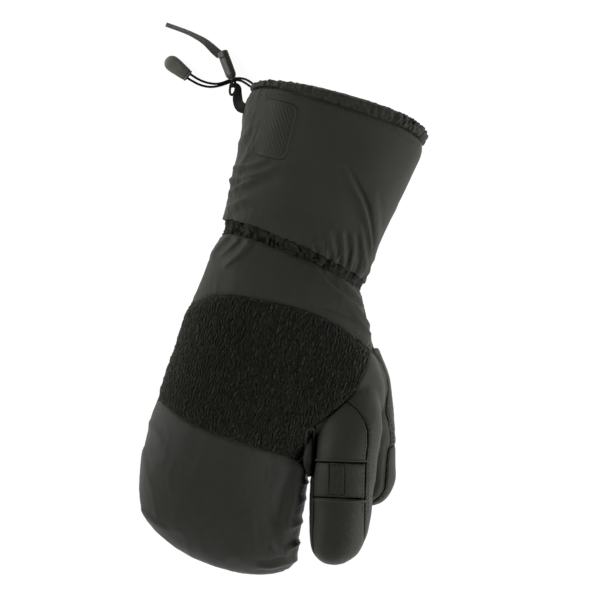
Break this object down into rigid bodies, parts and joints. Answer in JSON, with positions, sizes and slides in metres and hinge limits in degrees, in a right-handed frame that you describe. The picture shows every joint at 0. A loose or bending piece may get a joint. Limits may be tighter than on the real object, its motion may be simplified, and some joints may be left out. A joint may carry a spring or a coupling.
{
  "type": "work mitten",
  "caption": "Insulated right-hand gauntlet mitten with a separate leather index finger and thumb, lying palm down, with a gathered wrist, a fleece back panel and a drawcord at the cuff.",
  "frame": {"origin": "a point on the flat underside of the palm, under the back of the hand", "axes": "+Z out of the back of the hand, +Y along the hand towards the cuff's mouth, +X towards the thumb's side"},
  "size_m": [0.226, 0.3519, 0.0667],
  "materials": {
    "nylon": "plain-woven nylon with a slight sheen",
    "fleece": "short pile fleece",
    "leather": "soft grained leather",
    "badge_film": "satin heat-pressed film",
    "webbing": "narrow woven tape",
    "leash": "flat woven strap",
    "moulded": "satin moulded",
    "cord": "braided elastic cord"
  },
  "bodies": {
    "root": {"hem_tunnel": "nylon", "gauntlet": "nylon", "badge": "badge_film", "wrist_elastic": "nylon", "back_yoke": "nylon", "fleece_patch": "fleece", "finger_pocket": "nylon", "palm": "leather", "crotch_fold": "leather", "index_knuckle": "leather", "index_band": "leather", "index_tab": "webbing", "index_tip": "leather", "index_sleeve": "leather", "thumb_back": "leather", "thumb_patch": "leather", "thumb_pad": "leather", "leash_loop": "webbing", "leash_ring": "moulded", "leash_keeper": "moulded", "leash_strap": "leash", "drawcord_upper": "cord", "drawcord_lower": "cord", "cord_end": "moulded"}
  },
  "joints": []
}
